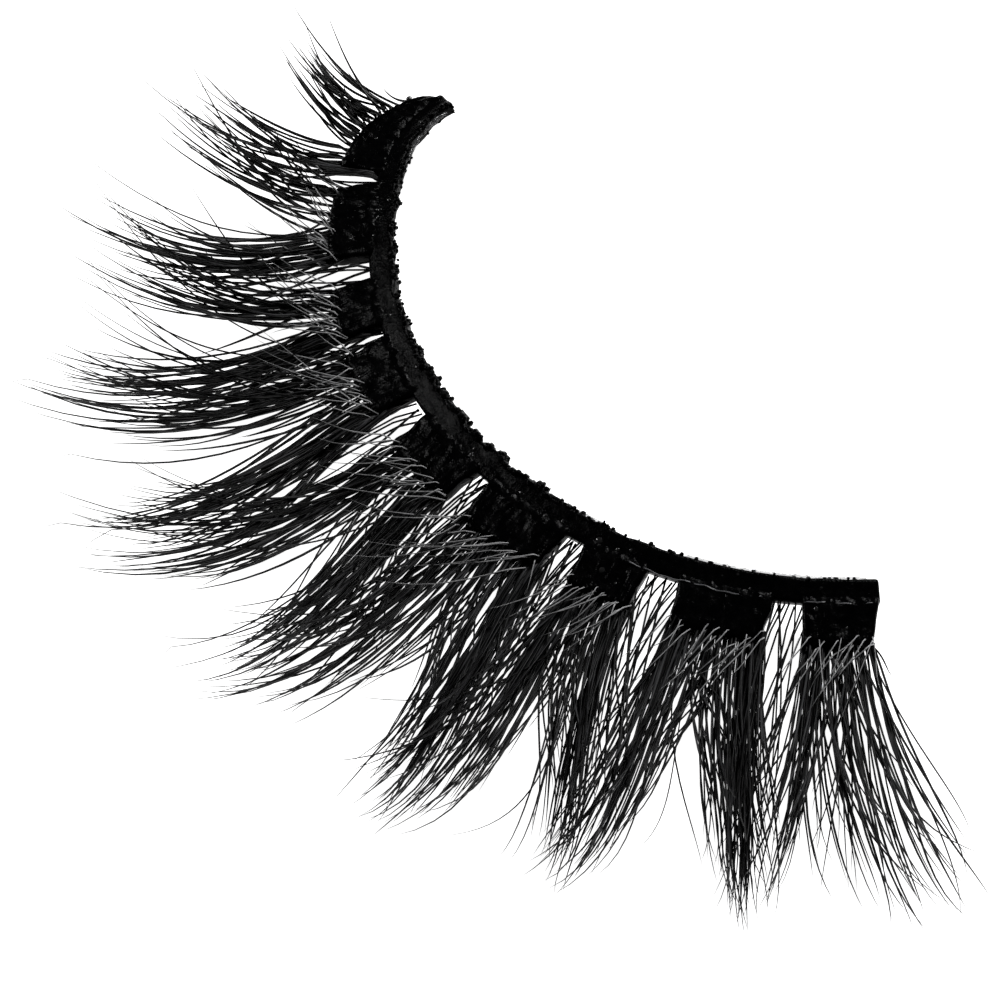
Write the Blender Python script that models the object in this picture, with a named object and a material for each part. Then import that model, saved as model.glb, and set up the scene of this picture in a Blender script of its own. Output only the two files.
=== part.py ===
"""False eyelash strip: a curved band with nine glued root pads and ten pointed lash spikes.

The strip lies as it rests on a table: the band level and a little above it, each spike
dipping to the table and curling up again. X runs from the inner corner of the eye to the
outer corner, the lashes point along -Y and Z is up. Lengths are in metres.
"""
import math
from collections import namedtuple

import bmesh
import bpy
from mathutils import Matrix, Vector

MM = 0.001

# Band
BAND_LENGTH = 34.0 * MM
BAND_DEPTH = 0.9 * MM
BAND_THICKNESS = 0.52 * MM
BAND_CORNER = 0.14 * MM
BAND_STATIONS = 46
CORNER_LENGTH = 3.2 * MM
CORNER_TURN = math.radians(40)
EYE_TURN = math.radians(108)
EYE_RADIUS = (BAND_LENGTH - CORNER_LENGTH) / EYE_TURN
CORNER_RADIUS = CORNER_LENGTH / CORNER_TURN
EYE_START = math.radians(-90) - EYE_TURN / 2

# Height of the band over the table
BAND_RISE = 1.55 * MM
BELLY_SHARE = 0.42

# Root pads
PAD_REACH = 2.45 * MM
PAD_THICKNESS = 0.62 * MM
PAD_CORNER = 0.16 * MM
PAD_STATIONS = 6
NARROW_SHARE = 0.42
NARROW_END = 0.075
CLEARANCE = 0.06 * MM

# Lash spikes
LONGEST_REACH = 14.4 * MM
HEEL_DEPTH = 1.9 * MM
HEEL_THICKNESS = 0.74 * MM
HEEL_CORNER = 0.2 * MM
HEEL_STATIONS = 6
UNDERLAP = 0.05 * MM
LOCK_BURY = 0.9 * MM
LOCK_THICKNESS = 0.36 * MM
LOCK_SIDES = 6
LOCK_STATIONS = 8
LOCK_FILL = 0.9
TIP_SPREAD = 0.5
TIP_BEND = 0.42
TIP_THICKNESS = 0.11 * MM
UPPER_RAISE = 0.17 * MM
UPPER_LIFT = 3.2 * MM
UPPER_FILL = 0.7
CORNER_SPREAD = 4.6

Pad = namedtuple("Pad", "name inner outer")
Spike = namedtuple("Spike", "name inner outer foot lean reach dip curl lower upper")
Lock = namedtuple("Lock", "across reach")

# Shares of the band's length, from the inner corner
PADS = (
    Pad("root_pad_1", 0.004, 0.122),
    Pad("root_pad_2", 0.133, 0.236),
    Pad("root_pad_3", 0.263, 0.332),
    Pad("root_pad_4", 0.344, 0.434),
    Pad("root_pad_5", 0.459, 0.553),
    Pad("root_pad_6", 0.568, 0.674),
    Pad("root_pad_7", 0.693, 0.766),
    Pad("root_pad_8", 0.796, 0.895),
    Pad("root_pad_9", 0.921, 0.994),
)

# Leans are degrees towards the outer corner, reaches shares of the longest, dips shares of the
# rise, and curls the tips' extra height as shares of the upper locks' lift
SPIKES = (
    Spike("lash_spike_01", 0.028, 0.086, 0.055, -2, 0.32, 0.30, 0.50, "small", "one"),
    Spike("lash_spike_02", 0.086, 0.184, 0.135, 0, 0.55, 0.50, 0.50, "small", "pair"),
    Spike("lash_spike_03", 0.184, 0.298, 0.249, 3, 0.70, 0.80, 0.40, "full", "pair"),
    Spike("lash_spike_04", 0.298, 0.389, 0.338, 11, 0.84, 1.00, 0.00, "full", "three"),
    Spike("lash_spike_05", 0.389, 0.506, 0.446, 12, 0.93, 1.00, 0.00, "full", "three"),
    Spike("lash_spike_06", 0.506, 0.621, 0.560, 11, 0.95, 1.00, 0.00, "full", "three"),
    Spike("lash_spike_07", 0.621, 0.730, 0.683, 9, 1.03, 1.00, 0.00, "full", "three"),
    Spike("lash_spike_08", 0.730, 0.845, 0.781, 7, 1.01, 1.00, 0.00, "full", "three"),
    Spike("lash_spike_09", 0.845, 0.932, 0.900, 2, 1.03, 1.00, 0.00, "full", "three"),
    Spike("lash_spike_10", 0.932, 0.994, 0.967, 5, 1.02, 1.00, 0.00, "corner", "pair"),
)

# Locks across a spike from -1 at the inner side to 1, with reaches as shares of the spike's
LOWER_LOCKS = {
    "full": (
        Lock(-0.84, 0.84),
        Lock(-0.50, 1.02),
        Lock(-0.17, 1.14),
        Lock(0.17, 1.22),
        Lock(0.50, 1.08),
        Lock(0.84, 0.90),
    ),
    "small": (
        Lock(-0.75, 0.90),
        Lock(-0.25, 1.22),
        Lock(0.25, 1.30),
        Lock(0.75, 0.98),
    ),
    "corner": (
        Lock(-0.84, 0.96),
        Lock(-0.50, 1.12),
        Lock(-0.17, 1.06),
        Lock(0.17, 1.18),
        Lock(0.50, 1.26),
        Lock(0.84, 1.02),
    ),
}
UPPER_LOCKS = {
    "three": (
        Lock(-0.55, 0.88),
        Lock(0.0, 1.06),
        Lock(0.55, 0.92),
    ),
    "pair": (
        Lock(-0.36, 0.88),
        Lock(0.36, 0.94),
    ),
    "one": (
        Lock(0.0, 0.96),
    ),
}


def new_material(name, colour, roughness):
    """A plain surface of one colour."""
    material = bpy.data.materials.new(name)
    material.use_nodes = True
    shader = material.node_tree.nodes["Principled BSDF"]
    shader.inputs["Base Color"].default_value = (*colour, 1.0)
    shader.inputs["Roughness"].default_value = roughness
    return material


def blend(start, end, part):
    """A value part of the way from start to end."""
    return start + (end - start) * part


def band_place(share):
    """The inner edge of the band at a share of its length, and the way the lashes leave it."""
    run = share * BAND_LENGTH
    if run < CORNER_LENGTH:
        angle = EYE_START - (CORNER_LENGTH - run) / CORNER_RADIUS
        inset = EYE_RADIUS - CORNER_RADIUS
        centre = Vector((math.cos(EYE_START), math.sin(EYE_START))) * inset
        outward = Vector((math.cos(angle), math.sin(angle)))
        return centre + outward * CORNER_RADIUS, outward
    angle = EYE_START + (run - CORNER_LENGTH) / EYE_RADIUS
    outward = Vector((math.cos(angle), math.sin(angle)))
    return outward * EYE_RADIUS, outward


def between_feet(share, value):
    """A value of the spikes, blended along the band from foot to foot."""
    if share <= SPIKES[0].foot:
        return value(SPIKES[0])
    for near, far in zip(SPIKES, SPIKES[1:]):
        if share <= far.foot:
            part = (share - near.foot) / (far.foot - near.foot)
            return blend(value(near), value(far), part)
    return value(SPIKES[-1])


def fringe_height(share, run):
    """Height of the lashes' middle at a distance from the band: down to the table and up."""
    rest = LOCK_THICKNESS / 2
    dip = between_feet(share, lambda spike: spike.dip) * (BAND_RISE - rest)
    belly = between_feet(share, lambda spike: spike.reach) * LONGEST_REACH * BELLY_SHARE
    return BAND_RISE - dip + dip * (run / belly - 1) ** 2


def fringe_point(share, run, offset):
    """A point of the fringe square to the band, an offset above the underside of the heels."""
    offset -= LOCK_THICKNESS / 2 + UNDERLAP
    place, outward = band_place(share)
    step = 0.01 * MM
    slope = (fringe_height(share, run + step) - fringe_height(share, run)) / step
    across = Vector((-slope, 1.0)).normalized() * offset
    flat = place + outward * (run + across.x)
    return Vector((flat.x, flat.y, fringe_height(share, run) + across.y))


def pad_reach(share):
    """How far the root pads reach from the band; they narrow at the inner corner."""
    part = min(share / NARROW_END, 1.0)
    return PAD_REACH * (NARROW_SHARE + (1 - NARROW_SHARE) * part * (2 - part))


def rounded_outline(depth, thickness, corner):
    """Eight points of an oblong with cut corners, from nothing up to its depth and thickness."""
    return (
        (corner, 0.0),
        (depth - corner, 0.0),
        (depth, corner),
        (depth, thickness - corner),
        (depth - corner, thickness),
        (corner, thickness),
        (0.0, thickness - corner),
        (0.0, corner),
    )


def extruded(name, loops):
    """A closed solid: the first outline extruded through all the others."""
    shape = bmesh.new()
    cap = shape.faces.new([shape.verts.new(point) for point in loops[0]])
    for before, after in zip(loops, loops[1:]):
        grown = bmesh.ops.extrude_face_region(shape, geom=[cap])
        if before is not loops[0]:
            bmesh.ops.delete(shape, geom=[cap], context="FACES_ONLY")
        cap = [item for item in grown["geom"] if isinstance(item, bmesh.types.BMFace)][0]
        places = [vertex.co.copy() for vertex in cap.verts]
        for vertex, place in zip(cap.verts, places):
            nearest = min(range(len(before)), key=lambda i: (before[i] - place).length)
            vertex.co = after[nearest]
    bmesh.ops.recalc_face_normals(shape, faces=shape.faces)
    mesh = bpy.data.meshes.new(name)
    shape.to_mesh(mesh)
    shape.free()
    solid = bpy.data.objects.new(name, mesh)
    bpy.context.scene.collection.objects.link(solid)
    return solid


def along_band(name, inner, outer, edges, thickness, corner, stations):
    """A strip along the band between two shares of its length and its two edges' distances."""
    loops = []
    for index in range(stations):
        share = inner + (outer - inner) * index / (stations - 1)
        start, end = edges(share)
        outline = rounded_outline(end - start, thickness, corner)
        loops.append([fringe_point(share, start + run, offset) for run, offset in outline])
    return extruded(name, loops)


def lock_path(spike, lock, lift):
    """Middle points of a lock, from inside the heel out to its tip."""
    width = spike.outer - spike.inner
    root_share = (spike.inner + spike.outer) / 2 + lock.across * width / 2
    start_run = pad_reach(root_share) + HEEL_DEPTH - LOCK_BURY
    root, root_outward = band_place(root_share)
    start = root + root_outward * start_run
    foot, foot_outward = band_place(spike.foot)
    spread = TIP_SPREAD * (CORNER_SPREAD if spike.lower == "corner" else 1.0)
    aim = Matrix.Rotation(math.radians(spike.lean), 2) @ foot_outward
    aside = Vector((-aim.y, aim.x)) * lock.across * width * BAND_LENGTH / 2 * spread
    reach = spike.reach * LONGEST_REACH * lock.reach
    tip = foot + aim * reach + aside
    leaving = (root_outward + (tip - start).normalized()).normalized()
    bend = start + leaving * (tip - start).length * TIP_BEND
    points = []
    for index in range(LOCK_STATIONS):
        part = index / (LOCK_STATIONS - 1)
        flat = start * (1 - part) ** 2 + bend * 2 * part * (1 - part) + tip * part ** 2
        run = start_run + (tip - start).length * part
        height = fringe_height(root_share, run) + UPPER_LIFT * spike.curl * part ** 2
        if lift:
            height += UPPER_RAISE + UPPER_LIFT * spike.reach * part ** 2
        points.append(Vector((flat.x, flat.y, height)))
    return points


def lash_lock(spike, lock, count, lift):
    """One lock: a flat rounded blade that narrows along its path to a point."""
    points = lock_path(spike, lock, lift)
    pitch = (spike.outer - spike.inner) * BAND_LENGTH / count
    fill = UPPER_FILL if lift else LOCK_FILL
    spread = TIP_SPREAD * (CORNER_SPREAD if spike.lower == "corner" else 1.0)
    loops = []
    for index, point in enumerate(points):
        part = index / (LOCK_STATIONS - 1)
        before = points[max(index - 1, 0)]
        after = points[min(index + 1, LOCK_STATIONS - 1)]
        ahead = (after - before).normalized()
        aside = ahead.cross(Vector((0, 0, 1))).normalized()
        upright = aside.cross(ahead).normalized()
        taper = math.sqrt(1 - 0.995 * part ** 2.4)
        half_width = blend(pitch, pitch * min(spread, 1.0), part) * fill / 2 * taper
        half_height = blend(LOCK_THICKNESS, TIP_THICKNESS, part) / 2 * taper
        loop = []
        for corner in range(LOCK_SIDES):
            turn = 2 * math.pi * corner / LOCK_SIDES
            sideways = aside * half_width * math.cos(turn)
            loop.append(point + sideways + upright * half_height * math.sin(turn) / math.sin(math.pi / 3))
        loops.append(loop)
    return extruded(f"{spike.name}_lock", loops)


def fuse(solid, added):
    """Join an overlapping solid to another and drop the second."""
    joint = solid.modifiers.new("fused", "BOOLEAN")
    joint.operation = "UNION"
    joint.solver = "EXACT"
    joint.object = added
    bpy.context.view_layer.objects.active = solid
    bpy.ops.object.modifier_apply(modifier=joint.name)
    bpy.data.objects.remove(added)


def lash_spike(spike):
    """Lower and upper locks fused to the heel that follows the pads."""
    gap = CLEARANCE / BAND_LENGTH

    def edges(share):
        return pad_reach(share) + CLEARANCE, pad_reach(share) + HEEL_DEPTH

    inner = spike.inner + gap / 2
    outer = spike.outer - gap / 2
    heel = along_band(spike.name, inner, outer, edges, HEEL_THICKNESS, HEEL_CORNER, HEEL_STATIONS)
    lower = LOWER_LOCKS[spike.lower]
    upper = UPPER_LOCKS[spike.upper]
    for lock in lower:
        fuse(heel, lash_lock(spike, lock, len(lower), False))
    for lock in upper:
        fuse(heel, lash_lock(spike, lock, len(upper) + 1, True))
    return heel


def dress(solid, material):
    """Give a piece its surface and smooth rounded faces."""
    solid.data.materials.clear()
    solid.data.materials.append(material)
    solid.data.shade_smooth()


def stand_on_origin(solids):
    """Move all the pieces so that the middle of their common underside is the origin."""
    corners = [vertex.co for solid in solids for vertex in solid.data.vertices]
    low = Vector([min(corner[axis] for corner in corners) for axis in range(3)])
    high = Vector([max(corner[axis] for corner in corners) for axis in range(3)])
    middle = (low + high) / 2
    shift = Matrix.Translation(Vector((-middle.x, -middle.y, -low.z)))
    for solid in solids:
        solid.data.transform(shift)
    return shift.translation


def build():
    for leftover in list(bpy.data.objects):
        bpy.data.objects.remove(leftover)
    band_surface = new_material("band_thread", (0.012, 0.012, 0.013), 0.6)
    pad_surface = new_material("root_glue", (0.006, 0.006, 0.007), 0.25)
    lash_surface = new_material("lash_fibre", (0.010, 0.010, 0.011), 0.42)

    def band_edges(share):
        return 0.0, BAND_DEPTH

    def pad_edges(share):
        return BAND_DEPTH + CLEARANCE, pad_reach(share)

    band = along_band("lash_band", 0.0, 1.0, band_edges, BAND_THICKNESS, BAND_CORNER, BAND_STATIONS)
    dress(band, band_surface)
    solids = [band]

    for pad in PADS:
        edges = (pad.inner, pad.outer, pad_edges)
        solid = along_band(pad.name, *edges, PAD_THICKNESS, PAD_CORNER, PAD_STATIONS)
        dress(solid, pad_surface)
        solids.append(solid)

    for spike in SPIKES:
        solid = lash_spike(spike)
        dress(solid, lash_surface)
        solids.append(solid)

    stand_on_origin(solids)


build()
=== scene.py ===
"""Dresses the false eyelash strip: fibres, glued roots, thread band, glue and a white table."""
import math

import bpy
import numpy as np
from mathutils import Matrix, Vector, noise


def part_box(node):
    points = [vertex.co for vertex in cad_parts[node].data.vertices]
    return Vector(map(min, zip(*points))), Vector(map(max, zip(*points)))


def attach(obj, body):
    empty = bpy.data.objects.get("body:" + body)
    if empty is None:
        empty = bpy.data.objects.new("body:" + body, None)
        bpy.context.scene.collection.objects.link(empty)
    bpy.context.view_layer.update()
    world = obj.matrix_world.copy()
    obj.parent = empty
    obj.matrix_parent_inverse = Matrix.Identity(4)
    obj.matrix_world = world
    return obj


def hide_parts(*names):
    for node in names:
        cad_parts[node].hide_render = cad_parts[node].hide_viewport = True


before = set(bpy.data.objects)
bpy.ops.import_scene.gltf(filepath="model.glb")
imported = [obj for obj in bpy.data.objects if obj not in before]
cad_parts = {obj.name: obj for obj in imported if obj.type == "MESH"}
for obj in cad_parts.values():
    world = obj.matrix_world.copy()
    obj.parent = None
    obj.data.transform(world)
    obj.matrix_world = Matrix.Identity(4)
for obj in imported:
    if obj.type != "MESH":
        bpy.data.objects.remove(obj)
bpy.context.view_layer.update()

bl_info = {
    "name": "False Eyelash Strip",
    "version": (1, 0, 0),
    "blender": (4, 5, 0),
    "location": "View3D > Sidebar > Lashes",
    "description": "Builds a false eyelash strip fibre by fibre on its band",
    "category": "Add Mesh",
}

MM = 0.001

# The band's course, as in the part's source
BAND_LENGTH = 34.0 * MM
BAND_DEPTH = 0.9 * MM
BAND_THICKNESS = 0.52 * MM
BAND_CORNER = 0.14 * MM
BAND_STATIONS = 46
CORNER_LENGTH = 3.2 * MM
CORNER_TURN = math.radians(40)
EYE_TURN = math.radians(108)
EYE_RADIUS = (BAND_LENGTH - CORNER_LENGTH) / EYE_TURN
CORNER_RADIUS = CORNER_LENGTH / CORNER_TURN
EYE_START = math.radians(-90) - EYE_TURN / 2
BAND_RISE = 1.55 * MM
BELLY_SHARE = 0.42
PAD_REACH = 2.45 * MM
PAD_THICKNESS = 0.62 * MM
NARROW_SHARE = 0.42
NARROW_END = 0.075
LONGEST_REACH = 14.4 * MM
LOCK_THICKNESS = 0.36 * MM
UNDERLAP = 0.05 * MM
UPPER_LIFT = 3.2 * MM

PADS = {
    "root_pad_1": (0.004, 0.122),
    "root_pad_2": (0.133, 0.236),
    "root_pad_3": (0.263, 0.332),
    "root_pad_4": (0.344, 0.434),
    "root_pad_5": (0.459, 0.553),
    "root_pad_6": (0.568, 0.674),
    "root_pad_7": (0.693, 0.766),
    "root_pad_8": (0.796, 0.895),
    "root_pad_9": (0.921, 0.994),
}

# Name, inner and outer share of the band, foot share, lean in degrees, reach, dip, curl,
# and the aims of the innermost and outermost tips in halves of the spike's width
SPIKES = (
    ("lash_spike_01", 0.028, 0.086, 0.055, -2, 0.32, 0.30, 0.50, 0.0, 1.9),
    ("lash_spike_02", 0.086, 0.184, 0.135, 0, 0.55, 0.50, 0.50, -0.7, 1.1),
    ("lash_spike_03", 0.184, 0.298, 0.249, 3, 0.70, 0.80, 0.40, -0.4, 1.2),
    ("lash_spike_04", 0.298, 0.389, 0.338, 11, 0.84, 1.00, 0.00, -1.1, 1.1),
    ("lash_spike_05", 0.389, 0.506, 0.446, 12, 0.93, 1.00, 0.00, -0.9, 1.1),
    ("lash_spike_06", 0.506, 0.621, 0.560, 11, 0.95, 1.00, 0.00, -0.8, 1.1),
    ("lash_spike_07", 0.621, 0.720, 0.683, 9, 1.03, 1.00, 0.00, -1.2, 0.9),
    ("lash_spike_08", 0.720, 0.838, 0.781, 7, 1.01, 1.00, 0.00, -0.6, 0.7),
    ("lash_spike_09", 0.838, 0.932, 0.900, 2, 1.03, 1.00, 0.00, -0.9, 0.6),
    ("lash_spike_10", 0.932, 0.994, 0.967, 5, 1.02, 1.00, 0.00, -2.9, 2.6),
)
FEET = np.array([row[3] for row in SPIKES])
REACHES = np.array([row[5] for row in SPIKES])
DIPS = np.array([row[6] for row in SPIKES])

# Share of the full number of fibres in each spike
FULLNESS = (0.3, 0.4, 0.62, 0.66, 0.72, 0.9, 1.0, 1.0, 0.95, 0.62)

# Fibres stay this far over the table, and above the highest they lose part of their rise
LOWEST = 0.07 * MM
HIGHEST = 7.6 * MM
RISE_LOST = 0.75
# How far a fibre sways to either side
SWAY = 0.07 * MM
# Shares of the band at which its first and last roots stand
FIRST_ROOT, LAST_ROOT = 0.006, 0.99

# Locks: place across the spike, reach, lift and number of fibres
LOCKS = (
    (-0.90, 0.96, 0.00, 5),
    (-0.60, 1.06, 0.06, 5),
    (-0.30, 1.16, 0.00, 5),
    (0.00, 1.22, 0.06, 5),
    (0.30, 1.22, 0.00, 5),
    (0.60, 1.12, 0.06, 5),
    (0.90, 0.98, 0.00, 5),
    (-0.55, 0.92, 0.70, 4),
    (0.00, 1.04, 0.95, 4),
    (0.55, 0.95, 0.75, 4),
)

# Strays: root share, leaving turn, tip turn, length in mm, lift in mm and bow
STRAYS = (
    (0.301, -22, -29, 8.4, 4.1, -0.6),
    (0.335, -2, -9, 12.3, 3.1, -0.8),
    (0.342, 0, -7, 12.7, 2.8, -0.8),
    (0.344, -20, -32, 12.5, 3.5, -1.0),
    (0.353, 0, -7, 12.5, 3.1, -1.0),
    (0.363, -8, -16, 12.2, 4.5, -1.2),
    (0.372, -4, -12, 11.0, 3.6, -0.8),
    (0.396, -12, -21, 12.3, 5.2, -1.2),
    (0.458, 3, 1, 15.2, 0.2, -1.2),
    (0.464, 2, -1, 15.6, 0.3, -1.4),
    (0.470, 2, 0, 15.8, 0.3, -1.4),
    (0.474, 0, -2, 15.3, 0.6, -1.2),
    (0.479, 0, -4, 15.7, 0.5, -1.4),
    (0.490, -3, -9, 12.8, 3.7, -1.0),
    (0.495, -4, -9, 13.3, 3.8, -1.2),
    (0.536, -6, -13, 14.9, 1.8, -0.6),
    (0.735, 10, 4, 16.6, 0.4, -2.0),
    (0.739, 12, 13, 15.0, 1.0, 1.0),
    (0.745, -14, -23, 13.1, 1.6, -1.0),
    (0.833, -4, 3, 14.1, 1.0, -1.0),
    (0.982, 18, 13, 12.7, 1.2, -1.2),
    (0.984, 12, 6, 17.3, 0.2, -1.4),
    (0.984, 60, 14, 3.7, 0.2, 0.5),
)

# Large drops: share of the band, way out from its inner edge in mm, and width in mm
DROPS = (
    (0.628, 1.23, 0.16), (0.648, 1.38, 0.14), (0.690, 0.40, 0.30), (0.706, 0.55, 0.34),
    (0.724, 1.45, 0.38), (0.735, 1.10, 0.16), (0.760, 0.60, 0.20), (0.944, 1.34, 0.18),
)

# Stretches of the band with clear glue, and with binding thread to be seen
FILM_SPANS = ((0.785, 0.997), (0.655, 0.715), (0.60, 0.63), (0.003, 0.11))
THREAD_SPANS = ((0.745, 0.885), (0.925, 0.995))

TABLE_SIDE = 1.6
TABLE_DROP = 0.02 * MM
# The middle of the picture, in the band's own plan
VIEW_TARGET = (1.81 * MM, -17.61 * MM, BAND_RISE)
# Softboxes: name, place, side and power
SOFTBOXES = (
    ("softbox over", (-0.10, 0.30, 0.30), 0.12, 1.6),
    ("softbox left", (-0.34, -0.16, 0.26), 0.10, 0.8),
)


class LashSizes(bpy.types.PropertyGroup):
    """Sizes of the fibres."""

    fibre_width: bpy.props.FloatProperty(
        name="Fibre width", description="Thickness of a fibre in its lower half",
        default=0.105 * MM, subtype="DISTANCE", unit="LENGTH",
    )
    down_width: bpy.props.FloatProperty(
        name="Down width", description="Thickness of the finest fibres", default=0.05 * MM,
        subtype="DISTANCE", unit="LENGTH",
    )
    crossing: bpy.props.IntProperty(
        name="Crossing fibres", description="Fibres that cross a spike either way", default=9,
    )
    bridges: bpy.props.IntProperty(
        name="Wide fibres", description="Fibres gathered from the pads on both sides", default=28,
    )
    web: bpy.props.IntProperty(
        name="Web fibres", description="Shorter fibres that fill a notch between two spikes",
        default=8,
    )
    gap_fibres: bpy.props.IntProperty(
        name="Gap fibres", description="Fibres that cross either way in the gap of two pads",
        default=11,
    )
    curled: bpy.props.IntProperty(
        name="Curled fibres", description="Fine fibres that curl high over a spike", default=7,
    )
    loose: bpy.props.IntProperty(
        name="Loose fibres", description="Long single fibres of a spike", default=11,
    )
    down: bpy.props.IntProperty(
        name="Down", description="Finest fibres over each root pad", default=9,
    )
    black: bpy.props.FloatVectorProperty(
        name="Fibre black", description="Colour of the darkest fibres", subtype="COLOR",
        default=(0.0006, 0.0006, 0.0007),
    )
    # Painted glint: the paler grey base colour that stretches of some fibres get in place of real
    # glints.
    painted_glint_grey: bpy.props.FloatVectorProperty(
        name="Fibre soft black", description="Colour of the palest fibres", subtype="COLOR",
        default=(0.036, 0.036, 0.038),
    )


class RootSizes(bpy.types.PropertyGroup):
    """Sizes of the band, the glued roots and the glue."""

    ridge: bpy.props.FloatProperty(
        name="Root ridges", description="Depth of the fibre ridges under the glue",
        default=0.035 * MM, subtype="DISTANCE", unit="LENGTH",
    )
    stubs: bpy.props.IntProperty(
        name="Cut roots", description="Cut root ends and beads along the inner edge", default=1500,
    )
    pad_taper: bpy.props.FloatProperty(
        name="Pad taper", description="How much a root pad narrows at its outer edge", default=0.16,
    )
    specks: bpy.props.IntProperty(
        name="Glue specks", description="Small drops of glue on the roots", default=260,
    )
    glue_black: bpy.props.FloatVectorProperty(
        name="Glue black", description="Colour of the glued roots", subtype="COLOR",
        default=(0.0004, 0.0004, 0.0005),
    )
    film_grey: bpy.props.FloatVectorProperty(
        name="Film grey", description="Colour of the dried clear glue", subtype="COLOR",
        default=(0.05, 0.05, 0.052),
    )


class TableSizes(bpy.types.PropertyGroup):
    """The table, the lights and the camera."""

    azimuth: bpy.props.FloatProperty(
        name="Camera azimuth", description="Turn of the camera round the strip",
        default=math.radians(50.2), subtype="ANGLE",
    )
    elevation: bpy.props.FloatProperty(
        name="Camera elevation", description="Height of the camera over the horizon",
        default=math.radians(51.0), subtype="ANGLE",
    )
    distance: bpy.props.FloatProperty(
        name="Camera distance", description="From the camera to the band's plane",
        default=200 * MM, subtype="DISTANCE", unit="LENGTH",
    )
    white: bpy.props.FloatVectorProperty(
        name="Table white", description="Colour of the table", subtype="COLOR",
        default=(0.93, 0.93, 0.93),
    )


def eye_places(share):
    """Places on the band's inner edge in its own plan, and the ways out from them."""
    run = np.asarray(share, float) * BAND_LENGTH
    corner = run < CORNER_LENGTH
    from_start = run - CORNER_LENGTH
    angle = EYE_START + from_start / np.where(corner, CORNER_RADIUS, EYE_RADIUS)
    outward = np.stack([np.cos(angle), np.sin(angle)], -1)
    start = np.array([math.cos(EYE_START), math.sin(EYE_START)])
    centre = np.where(corner[..., None], start * (EYE_RADIUS - CORNER_RADIUS), 0.0)
    return centre + outward * np.where(corner, CORNER_RADIUS, EYE_RADIUS)[..., None], outward


def fringe_heights(share, run):
    """Height of the lashes' middle surface over the table."""
    dip = np.interp(share, FEET, DIPS) * (BAND_RISE - LOCK_THICKNESS / 2)
    belly = np.interp(share, FEET, REACHES) * LONGEST_REACH * BELLY_SHARE
    return BAND_RISE - dip + dip * (run / belly - 1) ** 2


def eye_points(share, run, offset):
    """Points square to the band, an offset above the underside of the heels."""
    offset = offset - LOCK_THICKNESS / 2 - UNDERLAP
    place, outward = eye_places(share)
    step = 0.01 * MM
    height = fringe_heights(share, run)
    slope = (fringe_heights(share, run + step) - height) / step
    size = np.sqrt(1 + slope ** 2)
    flat = place + outward * (run - slope / size * offset)[..., None]
    return np.concatenate([flat, (height + offset / size)[..., None]], -1)


def measured_shift():
    """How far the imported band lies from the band's own plan."""
    corner, deep = BAND_CORNER, BAND_DEPTH
    high = BAND_THICKNESS
    runs = np.array([corner, deep - corner, deep, deep, deep - corner, corner, 0, 0])
    offsets = np.array([0, 0, corner, high - corner, high, high, high - corner, corner])
    shares = np.linspace(0, 1, BAND_STATIONS)[:, None]
    points = eye_points(shares + runs * 0, runs + shares * 0, offsets + shares * 0)
    low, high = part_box("lash_band")
    mine = (points.min((0, 1)) + points.max((0, 1))) / 2
    return np.array((low + high) / 2) - mine


SHIFT = measured_shift()


def band_points(share, run, offset):
    """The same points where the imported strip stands."""
    return eye_points(share, run, offset) + SHIFT


def pad_reach(share):
    """How far the root pads reach from the band; they narrow at the inner corner."""
    part = np.minimum(np.asarray(share) / NARROW_END, 1.0)
    return PAD_REACH * (NARROW_SHARE + (1 - NARROW_SHARE) * part * (2 - part))


def finish_piece(piece, material, slot, *nodes):
    """Give a finished piece its surface and its body, and hide the solids it stands for; the slot
    is not used.
    """
    piece.data.materials.clear()
    piece.data.materials.append(material)
    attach(piece, "root")
    if nodes:
        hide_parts(*nodes)
    return piece


def joined_mesh(name, points, faces, coordinates=None):
    """A mesh of many small like shapes from arrays of points and faces."""
    mesh = bpy.data.meshes.new(name)
    mesh.from_pydata(points.reshape(-1, 3).tolist(), [], faces)
    if coordinates is not None:
        corner_points = np.zeros(len(mesh.loops), np.int32)
        mesh.loops.foreach_get("vertex_index", corner_points)
        layer = mesh.uv_layers.new(name="fibre")
        layer.data.foreach_set("uv", coordinates.reshape(-1, 2)[corner_points].ravel())
    mesh.shade_smooth()
    mesh.update()
    piece = bpy.data.objects.new(name, mesh)
    bpy.context.scene.collection.objects.link(piece)
    return piece


def fibres(name, paths, widths, seed):
    """Four-sided fibres along paths, each drawn out to a point, as one mesh."""
    count, rings, _ = paths.shape
    ahead = np.gradient(paths, axis=1)
    ahead /= np.linalg.norm(ahead, axis=-1, keepdims=True)
    aside = np.cross(ahead, np.array([0.0, 0.0, 1.0]))
    aside /= np.linalg.norm(aside, axis=-1, keepdims=True)
    above = np.cross(aside, ahead)
    turns = np.radians([45, 135, 225, 315])
    ring = (
        aside[:, :, None] * np.cos(turns)[:, None] + above[:, :, None] * np.sin(turns)[:, None]
    )
    points = paths[:, :, None] + ring * (widths / 2)[:, :, None, None]
    points[:, -1] = paths[:, -1, None]
    body = points[:, :-1].reshape(count, -1, 3)
    points = np.concatenate([body, paths[:, -1:]], 1)
    each = points.shape[1]
    shape = [(3, 2, 1, 0)]
    for index in range(rings - 2):
        low = index * 4
        for side in range(4):
            after = (side + 1) % 4
            shape.append((low + side, low + after, low + 4 + after, low + 4 + side))
    low = (rings - 2) * 4
    shape += [(low + side, low + (side + 1) % 4, each - 1) for side in range(4)]
    faces = [
        tuple(base + corner for corner in face)
        for base in range(0, count * each, each) for face in shape
    ]
    along = np.concatenate([np.repeat(np.linspace(0, 1, rings)[:-1], 4), [1.0]])
    own = np.random.default_rng(seed).random(count)
    coordinates = np.stack(np.broadcast_arrays(along[None], own[:, None]), -1)
    return joined_mesh(name, points, faces, coordinates)


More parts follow.
